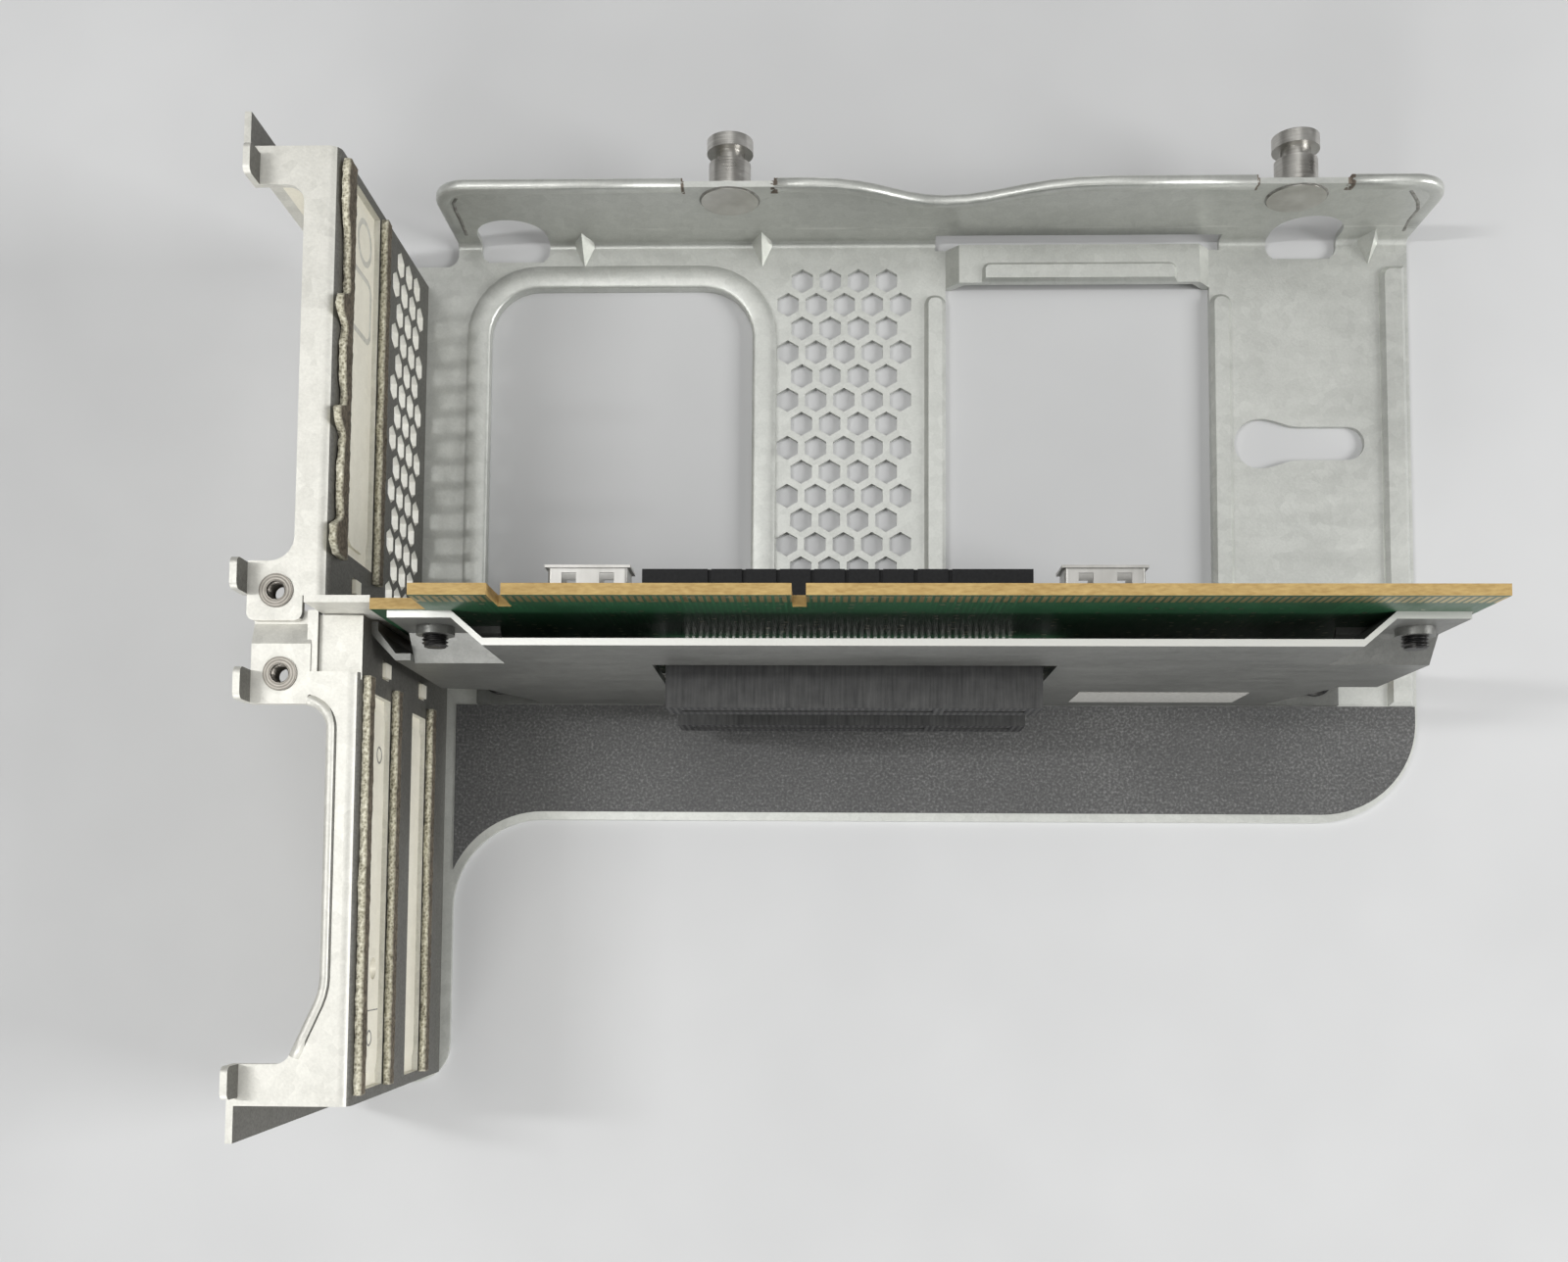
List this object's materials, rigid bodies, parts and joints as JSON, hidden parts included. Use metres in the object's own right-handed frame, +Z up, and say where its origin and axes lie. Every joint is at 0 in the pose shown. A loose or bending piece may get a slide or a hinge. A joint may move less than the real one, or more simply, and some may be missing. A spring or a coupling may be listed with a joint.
{
  "type": "riser card",
  "caption": "Upright riser board in a folded sheet-metal carrier, with card sockets on both faces, blanked rear panels, guide pins and a vented base plate.",
  "frame": {"origin": "on the underside of the base plate, under the south face of the riser board and near the middle of its length", "axes": "+X along the board, away from the rear panels; +Y across the board, towards the guide pins; +Z up, from the plate to the board's connector edge"},
  "size_m": [0.1862, 0.161, 0.0685],
  "materials": {
    "plated_sheet": "satin zinc plating",
    "cover_sheet": "satin tin plating",
    "board_laminate": "solder mask over glass fibre",
    "socket_plastic": "moulded",
    "lead_tin": "tinned",
    "shell_steel": "bright plated",
    "tongue_plastic": "moulded",
    "turned_steel": "turned",
    "black_screw": "black oxide",
    "gasket_knit": "knitted conductive fabric",
    "film_plastic": "matt film",
    "label_paper": "blank paper label"
  },
  "bodies": {
    "root": {"base_plate": "plated_sheet", "rear_panel_north": "plated_sheet", "rear_panel_south": "plated_sheet", "board_bracket": "plated_sheet", "slot_cover_upper": "cover_sheet", "slot_cover_lower": "cover_sheet", "slot_cover_north": "cover_sheet", "riser_board": "board_laminate", "upper_socket_housing": "socket_plastic", "lower_socket_housing": "socket_plastic", "north_socket_housing": "socket_plastic", "upper_socket_leads": "lead_tin", "lower_socket_leads": "lead_tin", "north_socket_leads": "lead_tin", "usb_shell_west": "shell_steel", "usb_shell_east": "shell_steel", "usb_tongue_west": "tongue_plastic", "usb_tongue_east": "tongue_plastic", "guide_pin_west": "turned_steel", "guide_pin_east": "turned_steel", "board_screws": "black_screw", "bracket_screws": "black_screw", "tab_insert_north": "turned_steel", "tab_insert_south": "turned_steel", "gasket_upper": "gasket_knit", "gasket_middle": "gasket_knit", "gasket_lower": "gasket_knit", "gasket_north_top": "gasket_knit", "gasket_north_low": "gasket_knit", "insulator_film": "film_plastic", "board_label": "label_paper"}
  },
  "joints": []
}
